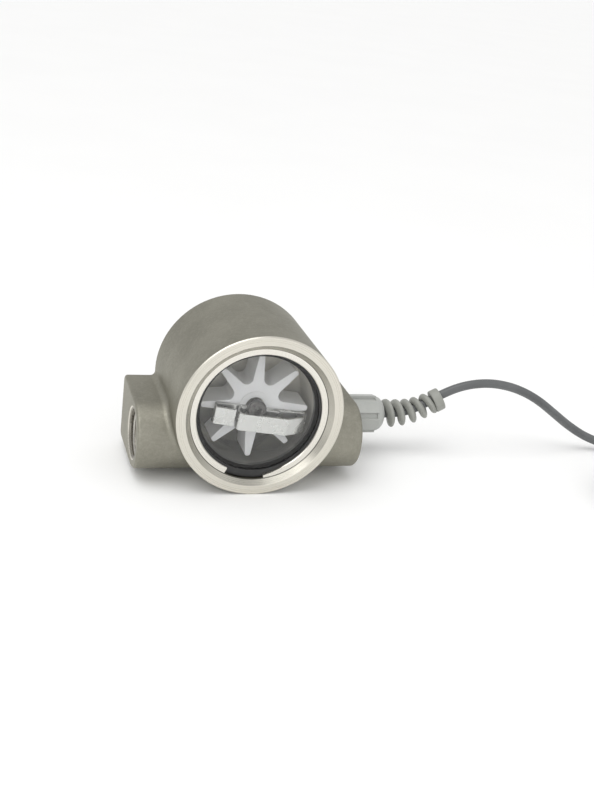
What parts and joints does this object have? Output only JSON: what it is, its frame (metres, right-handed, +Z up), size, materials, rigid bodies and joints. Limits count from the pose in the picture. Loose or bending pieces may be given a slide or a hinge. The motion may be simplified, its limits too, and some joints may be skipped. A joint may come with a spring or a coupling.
{
  "type": "sight glass",
  "caption": "Stainless sight flow indicator: round window over a paddle-wheel rotor, two threaded ports, rear sensor compartment and a gland with bend protector and cable.",
  "frame": {"origin": "on the standing surface, under the middle of the barrel: midway between the port faces and between the window rim and the rear face", "axes": "+X from the left-hand port to the right-hand one, -Y out of the window, +Z up"},
  "size_m": [0.3192, 0.118, 0.085],
  "materials": {
    "cast_body": "bead-blasted cast stainless steel, warm grey",
    "machined_steel": "turned stainless steel",
    "window_glass": "clear, polished, chamfered edge",
    "black_gasket": "flat black sheet gasket",
    "seal_rubber": "black moulded rubber",
    "spring_ring": "bright spring steel",
    "rotor_plastic": "slightly translucent white moulded plastic",
    "bush_plastic": "low-friction bearing plastic",
    "magnet": "ferrite",
    "dark_screw": "dark socket-head screw",
    "strip_steel": "bright rolled strip",
    "circuit_board": "green solder mask",
    "black_plastic": "moulded sensor body",
    "terminal_plastic": "moulded terminal housing",
    "wire_insulation": "coloured wire insulation",
    "gland_plastic": "grey moulded polyamide",
    "cable_jacket": "dark grey cable jacket"
  },
  "bodies": {
    "housing": {"body": "cast_body", "rear_cover": "machined_steel", "window_glass": "window_glass", "window_gasket": "black_gasket", "window_o_ring": "seal_rubber", "front_retaining_ring": "spring_ring", "rotor_shaft": "machined_steel", "front_thrust_washer": "bush_plastic", "rear_thrust_washer": "bush_plastic", "clip_screw": "dark_screw", "rotor_clip": "strip_steel", "sensor_board": "circuit_board", "board_screws": "machined_steel", "hall_sensor": "black_plastic", "terminal_block": "terminal_plastic", "conductors": "wire_insulation", "rear_cover_o_ring": "seal_rubber", "rear_cover_screws": "machined_steel", "gland_gasket": "seal_rubber", "gland_body": "gland_plastic", "gland_seal": "seal_rubber", "gland_clamp": "gland_plastic", "gland_nut": "gland_plastic", "cable_in_gland": "cable_jacket", "bend_protector": "gland_plastic", "cable": "cable_jacket", "cable_coil": "cable_jacket", "cable_leads": "wire_insulation"},
    "rotor_wheel": {"rotor": "rotor_plastic", "rotor_bush": "bush_plastic", "rotor_magnets": "magnet"}
  },
  "joints": [
    {"name": "rotor_spin", "type": "hinge", "parent": "housing", "child": "rotor_wheel", "pos_m": [0, -0.0075, 0.0425], "axis": [0, -1, 0], "continuous": true}
  ]
}
